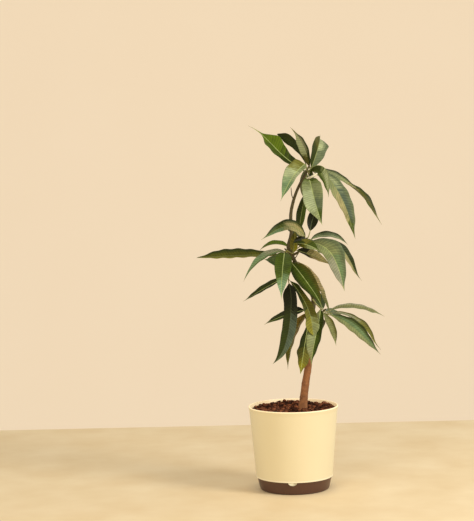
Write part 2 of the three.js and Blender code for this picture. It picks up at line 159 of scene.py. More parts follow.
RIB_HALF = (1.1, 0.3)  # half width of the pale midrib, at base and tip
RIB_MOST = 0.5  # its largest share of the half's width
RIB_RAISE = (0.15, 0.75)  # its height above and below the blade
RIB_FULL = 4  # width of a half where the midrib has its full height
WAVE_LENGTH = 31
WAVE_SHARE = 0.03  # height of the margin's waves as a share of the leaf's width
TIP = (0.78, 0.95, 0.45)  # the drip tip: shares of the length where it starts and is slim, and how slim
BLUR = (0.05, 0.03)  # how far a border of tints strays, by side vein and by face
BLEND_REACH = 0.16  # share of the length over which one tint turns into the next
BLEND_LEVELS = 4
EDGE_SHARES = (1, 0.9, 0.5)  # how much of the edge's tint each face takes, from the margin inwards
STEMS = {
    "crown_top": dict(on="leader_upper", at=1, line=[(43, 0, 714)], radius=(2.6, 2.2)),
    "crown_middle": dict(on="middle_shoot", at=1, line=[(35, -12, 555)], radius=(2.2, 1.8)),
    "crown_left_front": dict(on="leader_upper", at=0.02, toward=(-1, -1, 0.1), line=[(-9, -3, 534)],
                             radius=(2, 1.6)),
    "crown_left_back": dict(on="leader_lower", at=0.96, toward=(-0.6, 0.8, 0.1), line=[(-9, 18, 527)],
                            radius=(2, 1.6)),
    "crown_lower": dict(on="leader_lower", at=0.83, toward=(-0.2, -1, 0), line=[(6, -6, 501)],
                        radius=(2.2, 1.8)),
    "crown_fork_left": dict(on="trunk", at=0.95, toward=(-1, 0.3, 0.1), line=[(32, 5, 392)],
                            radius=(2.2, 1.8)),
    "crown_fork_right": dict(on="trunk", at=0.93, toward=(1, -0.2, 0.4), radius=(2.6, 2),
                             line=[(60, -3, 386), (72, -4, 397)]),
}
BEHIND_FRONTS = {  # the way each leaf at the back points, in degrees
    "crown_top": (-72, -95, -30),
    "crown_middle": (-40, 138),
    "crown_left_back": (258, 272),
    "crown_fork_right": (-98, -36, 115),
}

# In each leaf, front, depth and roll are degrees at evenly spaced places along its midrib, or one angle for
# all of it. tops is one tint, or tints each up to a share of its length, for both halves or for the right
# and then the left one, seen from the stalk to the tip; as well as the leaf's own colour, the tints paint
# its sheen and shade, with a half turned to the light paler and one turned away darker. edge is each
# half's tint at the margin, where it differs, painting shade and sheen across the half, and under the
# underside's. bumps widen one half (0 right, 1 left) near a share of the length: place, half, millimetres,
# spread.
LEAVES = {
    "crown_top": [
        dict(at=(36, -6, 723), front=(213, 236, 246), depth=(-50, -35), size=(134, 48), roll=-10, belly=0.3,
             bumps=[(0.06, 0, 7, 0.07), (0.35, 1, -13, 0.3)],
             tops=[(0.22, "olive", "sage"), (0.5, "pale"), (1, "teal")]),
        dict(at=(47, 4, 717), front=(95, 133), depth=20, size=(106, 28), roll=45, tip=(0.6, 0.85, 0.6),
             bumps=[(0.3, 1, -1.5, 0.2)], tops=[(0.28, "dark", "moss"), (0.85, "grey", "pale"), (1, "tan")],
             edge=("dark", ""), rib="none"),
        dict(at=(50, 2, 714), front=(67, 78), depth=(5, 84), size=(120, 40), roll=-30,
             bumps=[(0.8, 0, -30, 0.1), (0.56, 0, 4, 0.08), (0.8, 1, -7, 0.2)],
             tops=[(0.35, "slate", "dark"), (1, "pale", "moss")], edge=("slate", ""), rib="soft"),
        dict(at=(37, 12, 706), front=(146, 141, 132, 134, 156), depth=(15, 20), size=(172, 40), roll=-22,
             belly=0.5, tip=(0.6, 0.8, 0.9), bumps=[(0.62, 0, 6, 0.14), (0.33, 0, -3, 0.12)],
             tops=[(0.35, "dark"), (0.6, "bright", "green"), (0.85, "bright"), (1, "tan")]),
        dict(at=(41, 14, 715), front=(96, 111, 127, 150, 165), depth=(25, 30), size=(120, 26),
             roll=(60, 60, 50, 35), belly=0.68, tops="dark", under="dark", rib="none"),
        dict(at=(45, -8, 692), front=(-85, -74), depth=(-68, -35), size=(165, 47), belly=0.36,
             tip=(0.85, 1, 0.2), bumps=[(0.7, 0, 12, 0.2)], relief=0.6,
             tops=[(0.1, "green"), (0.3, "sage"), (0.5, "pale", "sage"), (0.75, "pale", "slate"),
                   (1, "sage", "green")]),
        dict(at=(45, -6, 703), front=(85, 5, -75, -92, -94), depth=(-30, -15), size=(119, 38), roll=30,
             fold=-45, belly=0.4, bumps=[(0.35, 0, 4, 0.2)], tops=[(0.42, "dark"), (1, "pale", "sage")],
             edge=("green", ""), rib="soft"),
        dict(at=(65, -4, 706), front=(-27, -56, -66, -76, -74), depth=(-12, 5), size=(176, 39), roll=24,
             stalk="stalk_pale", bumps=[(0.35, 0, 6, 0.2)],
             tops=[(0.3, "sage", "pale"), (0.75, "tan", "blue"), (1, "green")], edge=("", "slate"),
             rib="soft"),
        dict(at=(65, 4, 713), front=(-22, -30, -40, -59, -58), depth=5, size=(196, 31),
             roll=(10, 35, 58, 42, 50), bumps=[(0.42, 1, -6, 0.1), (0.62, 1, 3, 0.15), (0.62, 0, 2, 0.15)],
             tops=[(0.38, "sage"), (0.47, "amber", "tan"), (0.88, "green", "moss"), (1, "tan")],
             under=[(0.45, "tan"), (0.88, "moss"), (1, "tan")], edge=("", "dark"), rib="none"),
    ],
    "crown_middle": [
        dict(at=(31, -17, 566), front=(132, 143, 192, 211, 211), depth=(-45, -25), size=(136, 31), roll=-10,
             belly=0.36, tops=[(0.5, "tan"), (1, "green", "teal")], edge=("dark", ""), rib="soft"),
        dict(at=(21, 8, 573), front=(83, 73), depth=15, size=(98, 23), roll=15, tops=[(1, "green", "dark")],
             rib="soft"),
        dict(at=(45, 2, 575), front=(79, 63), depth=20, size=(65, 27), roll=-10, tops="deep", rib="thin"),
        dict(at=(46, -4, 556), front=(28, -50), depth=(30, 35), size=(112, 20), roll=25,
             tops=[(0.8, "pale", "slate"), (1, "slate", "dark")], edge=("slate", "dark"), rib="none"),
        dict(at=(43, -14, 551), front=(-3, -33, -65, -77, -80), depth=(-40, -15), size=(156, 40), roll=5,
             belly=0.45, bumps=[(0.38, 1, 9, 0.17), (0.72, 0, 3, 0.2)],
             tops=[(0.45, "sage"), (0.9, "grey", "teal"), (1, "tan", "teal")], edge=("", "slate")),
        dict(at=(57, -3, 550), front=(4, -17, -56, -68, -48), depth=5, size=(147, 23), roll=32,
             bumps=[(0.55, 0, 6, 0.18)],
             tops=[(0.45, "slate", "dark"), (0.85, "tan", "dark"), (1, "dark")], edge=("", "dark"),
             rib="soft"),
        dict(at=(14, -11, 533), front=(-12, -33), depth=(-45, -30), size=(98, 28), roll=120, tops="green",
             under=[(0.35, "deep"), (1, "tan")]),
        dict(at=(15, -20, 549), front=(0, -38), depth=-30, size=(58, 26), roll=10,
             tops=[(0.4, "moss", "olive"), (1, "sage", "green")]),
        dict(at=(36, -20, 556), front=(180, 200), depth=-20, size=(34, 22), roll=-20,
             tops=[(1, "deep", "dark")], rib="none"),
    ],
    "crown_left_front": [
        dict(at=(-12, -5, 531), front=(168, 245), depth=(-35, -25), size=(136, 23), roll=-35, ease=0.75,
             belly=0.38, tip=(0.5, 0.85, 0.4), tops=[(0.4, "grey", "teal"), (1, "teal")],
             edge=("", "green"), rib="soft"),
        dict(at=(-13, -10, 529), front=(256, 268), depth=(-65, -30), size=(145, 41), belly=0.35,
             bumps=[(0.1, 0, 2, 0.08)], tops=[(0.5, "green"), (0.65, "green", "teal"), (1, "mint")]),
        dict(at=(-10, 0, 499), front=(155, 168), depth=-20, size=(54, 30), roll=-10, tops="teal",
             rib="soft"),
        dict(at=(7, -6, 528), front=(84, 88), depth=-10, size=(52, 20), roll=10, belly=0.4,
             tops=[(0.6, "yellow", "olive"), (1, "olive", "moss")], rib="soft"),
    ],
    "crown_left_back": [
        dict(at=(-4, 18, 540), front=(153, 223), depth=35, size=(82, 24), roll=-45,
             tops=[(1, "bright", "olive")], rib="none"),
        dict(at=(-13, 19, 521), front=(178, 184), depth=10, size=(200, 37), roll=-36, belly=0.58,
             tops=[(1, "umber", "olive")], edge=("dark", "yellow"), rib="soft"),
        dict(at=(-9, 19, 473), front=(207, 214), depth=20, size=(120, 21), roll=-32, tops="dark",
             under="moss"),
    ],
    "crown_lower": [
        dict(at=(3, -10, 505), front=(-49, -54, -56, -70), depth=(-45, -40), size=(148, 43), belly=0.38,
             tops="green", edge=("dark", "moss")),
        dict(at=(19, -5, 506), front=(-38, -58, -70, -66), depth=(-22, -18), size=(146, 22), roll=112,
             tops="green", under=[(0.6, "straw"), (1, "sage")]),
        dict(at=(-4, -8, 468), front=(-47, -57, -65, -80, -88), depth=(-28, -20), size=(144, 28),
             roll=(30, 10), belly=0.62, tip=(0.9, 1, 0.1),
             bumps=[(0.12, 1, 6, 0.12), (0.12, 0, 4, 0.12), (0.88, 0, 9, 0.12), (0.88, 1, 6, 0.12)],
             tops=[(0.25, "dark"), (0.5, "dark", "moss"), (0.7, "olive", "moss"), (1, "yellow", "sage")],
             rib="soft"),
        dict(at=(-5, -18, 462), front=(-76, -94, -99, -110, -142), depth=(-15, -10), size=(190, 37),
             roll=-12, belly=0.47, tip=(0.86, 1, 0.3),
             bumps=[(0.45, 0, -3, 0.25), (0.12, 0, 9, 0.14), (0.08, 1, 5, 0.12)],
             tops=[(0.32, "deep"), (0.82, "dark", "blue"), (1, "dark", "slate")], rib="thin",
             rib_width=0.5),
    ],
    "crown_fork_left": [
        dict(at=(38, 10, 392), front=(213, 267), depth=(5, -5), size=(138, 33), roll=-125, ease=0.5,
             tops="olive", under=[(0.5, "amber"), (1, "olive")]),
        dict(at=(31, 10, 398), front=(191, 208), depth=(15, 10), size=(100, 22), roll=-25,
             bumps=[(0.15, 0, 4, 0.1), (0.15, 1, 4, 0.1)],
             tops=[(0.5, "deep", "dark"), (1, "dark", "green")]),
        dict(at=(37, -13, 372), front=(-103, -99), depth=(-20, -10), size=(116, 33), roll=20, belly=0.55,
             bumps=[(0.6, 0, 3, 0.07)], tops=[(0.5, "dark"), (0.75, "moss", "olive"), (1, "yellow")],
             wave=0.06),
    ],
    "crown_fork_right": [
        dict(at=(86, 2, 397), front=(24, -31), depth=(20, 30), size=(149, 20), roll=38, ease=0.6,
             bumps=[(0.68, 0, 8, 0.1)], tops="khaki", edge=("sage", "grey"), rib="none"),
        dict(at=(88, 0, 391), front=(5, -24, -42, -63, -47), depth=5, size=(149, 20), roll=50,
             bumps=[(0.58, 1, 4, 0.15), (0.58, 0, 3, 0.15)],
             tops=[(0.42, "khaki", "grey"), (0.85, "yellow", "olive"), (1, "khaki")], edge=("", "moss"),
             rib="none"),
        dict(at=(88, -8, 387), front=(-17, -38, -46, -48), depth=(-22, -18), size=(143, 27), roll=14,
             bumps=[(0.45, 1, 4, 0.22)], tops=[(0.8, "sage", "teal"), (1, "slate")], edge=("khaki", "dark"),
             rib="soft", wave=0.06),
        dict(at=(70, -12, 394), front=(-60, -81), depth=(-35, -30), size=(87, 24), roll=35, tops="khaki",
             edge=("", "moss"), rib="soft"),
        dict(at=(64, -16, 402), front=(-99, -107, -105, -97), depth=(-45, -25), size=(145, 31), roll=-10,
             bumps=[(0.65, 0, 6, 0.2), (0.35, 1, -3, 0.15)],
             tops=[(0.35, "khaki", "green"), (0.7, "sage", "green"), (1, "khaki", "green")],
             edge=("", "dark"), wave=0.08),
    ],
}

# ---- Colours: leaf tints hold painted sheen and painted shade as well as the leaves' own colours ----
LEAF_TINTS = {
    # pale and sage: leaf green with a painted sheen, pale the strongest
    "pale": (168, 177, 128),
    "sage": (138, 146, 94),
    # a painted grey sheen
    "grey": (146, 146, 114),
    "khaki": (128, 128, 78),
    # teal: leaf green with a painted bluish sheen
    "teal": (114, 138, 92),
    "mint": (130, 158, 116),
    # slate and blue: leaf green with a painted bluish sheen
    "slate": (104, 116, 80),
    "blue": (92, 107, 86),
    "green": (72, 88, 20),
    "bright": (90, 110, 12),
    "moss": (84, 82, 18),
    # dark and deep: the leaves' own dark green, darkened further with painted shade
    "dark": (50, 60, 12),
    "deep": (34, 36, 10),
    "olive": (114, 112, 40),
    "yellow": (134, 130, 26),
    "amber": (136, 116, 48),
    "umber": (90, 92, 20),
    # tan: the brown of dry tips and undersides, and a painted sheen where it lies on the blade
    "tan": (164, 156, 104),
    # a painted highlight: a pale underside made brighter where it lies in shade
    "straw": (226, 212, 166),
    "underside": (148, 148, 94),
    "rib_pale": (176, 188, 116),
    "rib_soft": (136, 144, 84),
    "rib_thin": (84, 92, 56),
}
STALKS = {"stalk": (150, 148, 80), "stalk_pale": (250, 242, 208)}
CHIPS = ((150, 90, 58), (112, 64, 40), (68, 37, 23))
RIM_PAINTED_GLOW = ((255, 208, 140), 0.3)  # painted glow that brightens the rim band and the shaded inner wall

# ---- Finishes: grain is the scale of the colour's noise, and contrast its range ----
NOISE_DETAIL = 5
BUMP_DISTANCE = 0.0004  # in metres
LEAF = dict(darker=0.2, roughness=0.45, grain=70, bump=0.08, specular=0.15)
STALK = dict(darker=0.2, roughness=0.5, grain=120)
CHIP = dict(darker=0.3, roughness=0.9, grain=260, specular=0.1)
CREAM = dict(roughness=0.45, grain=8, bump=0.05, bump_grain=400)
STAGE = dict(bump=0.1, bump_grain=60)
MATERIALS = {
    "bark": dict(colours=((176, 117, 69), (92, 56, 30)), roughness=0.85, grain=110, contrast=0.8, bump=0.6,
                 bump_grain=900),
    "green_bark": dict(colours=((88, 78, 34), (60, 50, 24)), roughness=0.7, grain=220, bump=0.4,
                       bump_grain=1200),
    "cream_plastic": dict(colours=((231, 220, 184), (228, 216, 178)), **CREAM),
    # painted highlight: a paler cream along the skirt's lip
    "cream_lip": dict(colours=((240, 230, 198), (237, 226, 192)), **CREAM),
    # painted highlight and painted light: a paler cream for the rim band and the shaded inner wall
    "cream_rim": dict(colours=((250, 238, 206), (248, 234, 200)), **CREAM),
    "brown_plastic": dict(colours=((82, 50, 34), (73, 43, 29)), roughness=0.4, grain=10, bump=0.05,
                          bump_grain=400, specular=0.6),
    "potting_mix": dict(colours=((92, 50, 29), (50, 26, 15)), roughness=0.95, grain=180, bump=0.8,
                        bump_grain=500, specular=0.1),
    "floor": dict(colours=((244, 224, 184), (228, 201, 153)), roughness=0.7, grain=7, contrast=0.6, **STAGE),
    "wall": dict(colours=((226, 212, 190), (224, 209, 186)), roughness=0.8, grain=2, contrast=0.8, **STAGE),
}

# ---- Chips on the potting mix ----
CHIP_COUNT = 620
CHIP_SIZE = (2.6, 8)
CHIP_SMALLNESS = 2.2  # how far the sizes lean to the small end
CHIP_CORNERS = (0.65, 1.15)
CHIP_LENGTH = 1.4
CHIP_WIDTH = (0.6, 1.2)
CHIP_HEIGHT = (0.5, 1)
CHIP_TILT = 0.6
CHIP_LIFT = 0.3  # height of its centre over the mix, as a share of its size
CHIP_REACH = 0.75  # how far it stays from the wall, as a share of its size
TRUNK_CLEAR = 10  # no chips this near the trunk's centre
MIX_GAP = 0.2
MIX_DEPTH = 12
MOUND = 4.4
MOUND_BEATS = (0.11, 0.13, 0.07)  # of the waves across, in depth and aslant
MOUND_WAVES = 0.25
MOUND_HEAP = 0.45
MOUND_LEAN = 0.4  # how far the heap leans to the right
MOUND_GRIT = 0.7
MOUND_SIDES = 120
MOUND_RINGS = 40
MOUND_CENTRE = 0.01  # the innermost ring

# ---- Stage, in metres ----
FLOOR_Z = -0.0003
FLOOR_BACK = 0.83  # where the floor ends, well in front of the wall
WALL_AT = 5.2
WALL_GLOW = ((147, 128, 103), 1)  # light of the wall itself
STAGE_HALF = 2.5
WALL_HEIGHTS = (-1.6, 3.0)
WORLD = {"Color": (1.0, 0.95, 0.87, 1.0), "Strength": 0.66}
AIM = (0, 0, 0.4)  # where the lights point
LIGHTS = {
    "key": dict(at=(2.3, -1.5, 2.1), size=1.2, power=63, colour=(1.0, 0.98, 0.95)),
    "fill": dict(at=(-1.2, -2.9, 1.3), size=2.0, power=28.5, colour=(1.0, 0.84, 0.63)),
}


# ---- Small helpers ----
def unit(vectors):
    """The vector, or each one of several, at length 1."""
    return vectors / np.linalg.norm(vectors, axis=-1, keepdims=True)


def mixed(pair, share):
    return pair[0] + (pair[1] - pair[0]) * share


def turning(keys, shares):
    """Values that pass through evenly spaced keys, or stay at a single one."""
    keys = np.atleast_1d(keys)
    return np.interp(shares, np.linspace(0, 1, len(keys)), keys)


def linear(colour):
    """A colour of 0 to 255 as the renderer's linear values."""
    parts = [part / 255 for part in colour]
    return tuple(p / 12.92 if p <= 0.04045 else ((p + 0.055) / 1.055) ** 2.4 for p in parts) + (1.0,)


def seeded(seed):
    """Random numbers by the same rule as the solids' own, in 32-bit words."""
    state, word = seed, 0xFFFFFFFF

    def draw(limits):
        nonlocal state
        state = (state + 0x6D2B79F5) & word
        t = ((state ^ (state >> 15)) * (1 | state)) & word
        t = ((t + (((t ^ (t >> 7)) * (61 | t)) & word)) & word) ^ t
        return mixed(limits, ((t ^ (t >> 14)) & word) / (word + 1))

    return draw


def hermite(b, c, start, end, shares):
    bent = -3 * b + 3 * c - 2 * start - end
    eased = 2 * b - 2 * c + start + end
    return b + start * shares + bent * shares**2 + eased * shares**3


def bezier(a, b, c, d, shares):
    rest = 1 - shares
    return rest**3 * a + 3 * rest**2 * shares * b + 3 * rest * shares**2 * c + shares**3 * d


def around(count):
    """Evenly spaced angles of a whole turn."""
    return np.linspace(0, 2 * math.pi, count, endpoint=False)


def ring(radius, turns, z):
    """Places round the upright axis."""
    return np.stack([radius * np.cos(turns), radius * np.sin(turns), z + 0 * turns], axis=1)


def linked(name, data):
    """A new object of the scene with this mesh, light or camera."""
    made = bpy.data.objects.new(name, data)
    bpy.context.scene.collection.objects.link(made)
    return made


class Line:
    """A smooth line through points, read by share of its length."""

    FINENESS = 80
    STEP = 0.002

    def __init__(self, points):
        points = np.array(points, float)
        ends = [2 * points[0] - points[1], *points, 2 * points[-1] - points[-2]]
        shares = np.linspace(0, 1, self.FINENESS)[:, None]
        places = [points[:1]]
        for a, b, c, d in zip(ends, ends[1:], ends[2:], ends[3:]):
            first, middle, last = (math.sqrt(np.linalg.norm(q - p)) for p, q in ((a, b), (b, c), (c, d)))
            start = middle * ((b - a) / first - (c - a) / (first + middle) + (c - b) / middle)
            end = middle * ((c - b) / middle - (d - b) / (middle + last) + (d - c) / last)
            places.append(hermite(b, c, start, end, shares)[1:])
        self.places = np.concatenate(places)
        steps = np.linalg.norm(np.diff(self.places, axis=0), axis=1)
        self.reached = np.concatenate([[0], np.cumsum(steps)])
        self.length = self.reached[-1]

    def at(self, share):
        spot = share * self.length
        return np.array([np.interp(spot, self.reached, self.places[:, axis]) for axis in range(3)])

    def along(self, share):
        return unit(self.at(min(1, share + self.STEP)) - self.at(max(0, share - self.STEP)))


class Piece:
    """Gathers vertices in millimetres and faces, and turns them into one object in metres."""

    def __init__(self):
        self.places = []
        self.faces = []
        self.looks = []
        self.count = 0

    def add(self, places, faces, look):
        """look is the name of a material, or one name for each face."""
        places = np.asarray(places, float).reshape(-1, 3)
        self.places.append(places)
        self.faces.extend([tuple(int(v) + self.count for v in face) for face in faces])
        self.looks.extend([look] * len(faces) if isinstance(look, str) else look)
        self.count += len(places)

    def build(self, name, materials, nodes=()):
        used = sorted(set(self.looks))
        mesh = bpy.data.meshes.new(name)
        mesh.from_pydata((np.concatenate(self.places) * MM).tolist(), [], self.faces)
        for look in used:
            mesh.materials.append(materials[look])
        mesh.polygons.foreach_set("material_index", [used.index(look) for look in self.looks])
        mesh.polygons.foreach_set("use_smooth", [True] * len(self.faces))
        mesh.update()
        piece = linked(name, mesh)
        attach(piece, "root")
        if nodes:
            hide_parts(*nodes)


def wrapped(rows, sides):
    """Quads round a tube of rows of vertices."""
    faces = []
    for row in range(rows - 1):
        for side in range(sides):
            here, right = row * sides + side, row * sides + (side + 1) % sides
            faces.append((here, right, right + sides, here + sides))
    return faces


def capped(rows, sides):
    """Quads round a tube, and fans to the two points after its rows, which close its ends."""
    faces = wrapped(rows, sides)
    foot, tip, last = rows * sides, rows * sides + 1, (rows - 1) * sides
    for side in range(sides):
        after = (side + 1) % sides
        faces.append((foot, after, side))
        faces.append((tip, last + side, last + after))
    return faces


def tube(places, radii, sides, relief=None):
    """A closed tube round a line; relief gives a factor for each row and side."""
    places = np.asarray(places, float)
    headings = unit(np.gradient(places, axis=0))
    normal = unit(np.cross(headings[0], (0.3, 1, 0.2)))
    turns = around(sides)
    rows = []
    for row, (place, heading) in enumerate(zip(places, headings)):
        normal = unit(normal - heading * normal.dot(heading))
        other = np.cross(heading, normal)
        radius = radii[row] * (1 if relief is None else relief[row])
        circle = np.outer(np.cos(turns), normal) + np.outer(np.sin(turns), other)
        rows.append(place + circle * np.reshape(radius, (-1, 1)))
    return np.concatenate(rows + [places[:1], places[-1:]]), capped(len(rows), sides)


# ---- Camera ----
def make_camera():
    data = bpy.data.cameras.new("camera")
    data.lens = CAMERA_LENS
    data.sensor_width = CAMERA_SENSOR
    camera = linked("camera", data)
    tilt = Matrix.Rotation(math.radians(90 - CAMERA_TILT), 4, "X")
    roll = Matrix.Rotation(math.radians(-CAMERA_ROLL), 4, "Z")
    camera.matrix_world = Matrix.Translation(Vector(CAMERA_AT) * MM) @ tilt @ roll
    bpy.context.scene.camera = camera


# ---- Materials ----
def preset(node, values):
    """Sets inputs of a node by their names."""
    for name, value in values.items():
        node.inputs[name].default_value = value


def material(name, colours, roughness, grain=40, contrast=0.5, bump=0.0, bump_grain=600, specular=0.5):
    """Two colours mixed by soft noise, with a fine bump."""
    made = bpy.data.materials.new(name)
    made.use_nodes = True
    nodes, links = made.node_tree.nodes, made.node_tree.links
    shader = nodes["Principled BSDF"]
    preset(shader, {"Roughness": roughness, "Specular IOR Level": specular})
    spots = nodes.new("ShaderNodeTexCoord")
    noise = nodes.new("ShaderNodeTexNoise")
    preset(noise, {"Scale": grain, "Detail": NOISE_DETAIL})
    ramp = nodes.new("ShaderNodeValToRGB")
    places = (0.5 - contrast / 2, 0.5 + contrast / 2)
    for end, place, colour in zip(ramp.color_ramp.elements, places, reversed(colours)):
        end.position = place
        end.color = linear(colour)
    links.new(spots.outputs["Object"], noise.inputs["Vector"])
    links.new(noise.outputs["Fac"], ramp.inputs["Fac"])
    links.new(ramp.outputs["Color"], shader.inputs["Base Color"])
    if bump:
        fine = nodes.new("ShaderNodeTexNoise")
        raised = nodes.new("ShaderNodeBump")
        preset(fine, {"Scale": bump_grain})
        preset(raised, {"Strength": bump, "Distance": BUMP_DISTANCE})
        links.new(spots.outputs["Object"], fine.inputs["Vector"])
        links.new(fine.outputs["Fac"], raised.inputs["Height"])
        links.new(raised.outputs["Normal"], shader.inputs["Normal"])
    return made


def shaded(name, colour, darker, **finish):
    """A material of one colour and a darker one."""
    return material(name, (colour, tuple(part * (1 - darker) for part in colour)), **finish)


def ready(*names):
    """Materials of the table, by name."""
    return {name: material(name, **MATERIALS[name]) for name in names}


def add_glow(made, colour, strength):
    """Gives a material a light of its own."""
    shader = made.node_tree.nodes["Principled BSDF"]
    preset(shader, {"Emission Color": linear(colour), "Emission Strength": strength})


class LeafLooks(dict):
    """Leaf materials by name, each made when a face first asks for it."""

    def __missing__(self, look):
        self[look] = shaded("leaf_" + look, leaf_colour(look), **LEAF)
        return self[look]


def leaf_colour(look):
    """The colour a look's name stands for: a tint's own, or a blend as in tint_tint_level_stripe, where the
    stripe sets the pale vein and the painted shade beside it.
    """
    if look in LEAF_TINTS:
        return LEAF_TINTS[look]
    first, second, level, stripe = look.split("_")
    share = int(level) / BLEND_LEVELS
    light = STRIPES[int(stripe)]
    return tuple(mixed((a, b), share) * light for a, b in zip(LEAF_TINTS[first], LEAF_TINTS[second]))


def blend_name(first, second, share, stripe):
    level = min(BLEND_LEVELS, max(0, round(share * BLEND_LEVELS)))
    if level == BLEND_LEVELS:
        first, level = second, 0
    if level == 0:
        second = first
    return f"{first}_{second}_{level}_{stripe}"


# ---- Limbs ----
def limb_radius(limb, share):
    spec, line = limb
    flare = spec.get("flare", 0) * math.exp(-share * line.length / FLARE_FADE)
    return mixed(spec["radius"], share) + flare


def line_of(spec, limbs):
    """The limb's centre line, grown from its parent's tip or side."""
    if "on" not in spec:
        return Line(spec["line"])
    parent = limbs[spec["on"]]
    centre, along = parent[1].at(spec["at"]), parent[1].along(spec["at"])
    if spec["at"] == 1:
        heading, away = along, GAP
    else:
        side = np.array(spec["toward"], float)
        heading = unit(side - along * side.dot(along))
        away = limb_radius(parent, spec["at"]) + SIDE_GAP
    start = centre + heading * away
    first = np.array(spec["line"][0], float)
    lead = start + heading * np.linalg.norm(start - first) * LIMB_LEAD
    return Line([start, lead, *spec["line"]])


def bark_relief(rows, sides, seed, strength):
    """Shallow ridges that run along a limb, for each row and side."""
    rng = np.random.default_rng(seed)
    turns = around(sides)
    run = np.linspace(0, 1, rows)[:, None]
    relief = np.zeros((rows, sides))
    for ridges in BARK_RIDGES:
        drift, phase, beat = rng.uniform(*BARK_DRIFT), rng.uniform(0, TURN), rng.integers(*BARK_BEATS)
        wave = np.sin(turns * ridges + phase + drift * run * BARK_TWIST)
        relief += wave * np.cos(run * beat * BARK_BEAT_RATE + phase) / ridges**BARK_FALL
    return 1 + strength * relief + rng.normal(0, strength * BARK_GRIT, (rows, sides))


def scarred(radii, reached, length, name):
    """The radii with leaf scars as low rings."""
    spacing = NODE_SPACING[name]
    rng = np.random.default_rng(len(name))
    spots = np.arange(spacing * NODE_ENDS[0], length - spacing * NODE_ENDS[1], spacing)
    for spot in spots + rng.uniform(-NODE_STRAY, NODE_STRAY, len(spots)) * spacing:
        radii = radii * (1 + NODE_SWELL * np.exp(-(((reached - spot) / NODE_WIDTH) ** 2)))
    return radii


def add_limb(piece, name, limb, limbs, look):
    """One limb's tube, sunk a little way into what carries it."""
    spec, line = limb
    rows = max(LIMB_LEAST_ROWS, round(line.length / LIMB_STEP))
    shares = np.linspace(0, 1, rows)
    places = np.array([line.at(share) for share in shares])
    radii = np.array([limb_radius(limb, share) for share in shares])
    reached = shares * line.length
    if "on" in spec:
        parent = limbs[spec["on"]]
        wide = limb_radius(parent, spec["at"])
        collar = wide - radii[0] if spec["at"] == 1 else COLLAR_SHARE * radii[0]
        radii = radii + collar * np.exp(-reached / COLLAR_FADE)
        places = np.concatenate([[parent[1].at(spec["at"])], places])
        radii = np.concatenate([radii[:1], radii])
        reached = np.concatenate([[0], reached])
    if name in NODE_SPACING:
        radii = scarred(radii, reached, line.length, name)
    strength = BARK_ROUGHNESS if look == "bark" else BARK_ROUGHNESS / 2
    relief = bark_relief(len(places), LIMB_SIDES, len(name) + 5, strength)
    piece.add(*tube(places, radii, LIMB_SIDES, relief), look)


# ---- Leaves ----
VIEW = np.array([0, -math.cos(math.radians(VIEW_RISE)), math.sin(math.radians(VIEW_RISE))])


def directions(leaf, shares):
    """Which way the midrib runs at each share of its length."""
    eased = np.asarray(shares, float) ** leaf.get("ease", 1)
    front = np.radians(turning(leaf["front"], eased))
    depth = np.radians(turning(leaf["depth"], eased))
    return np.stack([np.cos(front) * np.cos(depth), np.sin(depth), np.sin(front) * np.cos(depth)], axis=-1)


def half_width(leaf, side, shares):
    """Width of the right (0) or left (1) half, drawn out into a drip tip."""
    belly = leaf.get("belly", LEAF_BELLY)
    rise, fall = belly * LEAF_FULLNESS, (1 - belly) * LEAF_FULLNESS
    full = shares**rise * (1 - shares) ** fall / (belly**rise * (1 - belly) ** fall)
    begin, end, slim = leaf.get("tip", TIP)
    late = np.clip((shares - begin) / (end - begin), 0, 1)
    width = leaf["size"][1] / 2 * full * (1 - slim * late**2 * (3 - 2 * late))
    for place, half, amount, spread in leaf.get("bumps", ()):
        if half == side:
            bump = amount * np.exp(-(((shares - place) / spread) ** 2))
            width = width + bump * np.minimum(1, full * BUMP_FADE)
    return np.maximum(LEAF_LEAST, width)


def leaf_behind(front, stem, random):
    """A leaf at the back of the crown, by the solids' seeded rule."""
    length = random(BEHIND["length"])
    leaf = {
        "front": (front, front + random(BEHIND["sway"])),
        "depth": (random(BEHIND["start"]), random(BEHIND["end"])),
        "size": (length, length * random(BEHIND["share"])),
        "roll": (random(BEHIND["sway"]), random(BEHIND["sway"])),
    }
    leaf["at"] = tuple(stem.at(1) + directions(leaf, 0) * random(BEHIND["out"]))
    leaf["tops"] = BEHIND_TINTS[int(length) % len(BEHIND_TINTS)]
    # painted shade: a darker underside for the leaves at the back of the crown
    leaf["under"] = "green"
    return leaf


def leaf_rows(length):
    """Shares of a leaf's length where its rows start on the midrib, and the number of side veins."""
    veins = max(LEAST_VEINS, round(length / VEIN_PITCH))
    rows = (np.arange(veins)[:, None] + VEIN_ROWS).ravel() / veins
    return np.concatenate([[0], rows, [1]]), veins


def tints_at(keys, column, share):
    """The tint at a share of the length, the tint it turns into nearby, and how far it has turned."""
    if isinstance(keys, str):
        return keys, keys, 0
    borders = [key[0] for key in keys]
    tints = [key[min(column, len(key) - 1)] for key in keys]
    place = 0
    while place < len(keys) - 1 and share > borders[place]:
        place += 1
    other, turned_by = tints[place], 0
    for border, beyond in ((place - 1, place - 1), (place, place + 1)):
        if 0 <= border < len(keys) - 1:
            near = 0.5 - abs(share - borders[border]) / BLEND_REACH
            if near > turned_by:
                other, turned_by = tints[beyond], near
    return tints[place], other, turned_by


def top_look(leaf, side, share, inwards, stripe):
    """The look of the right (0) or left (1) half on top, inwards faces from the margin."""
    here, other, turned_by = tints_at(leaf["tops"], side + 1, share)
    edge = leaf.get("edge", ("", ""))[side]
    if edge and inwards < len(EDGE_SHARES):
        other, turned_by = edge, EDGE_SHARES[inwards]
    return blend_name(here, other, turned_by, stripe)


def under_look(leaf, share, stripe):
    if "under" not in leaf:
        return "underside"
    return blend_name(*tints_at(leaf["under"], 1, share), stripe)


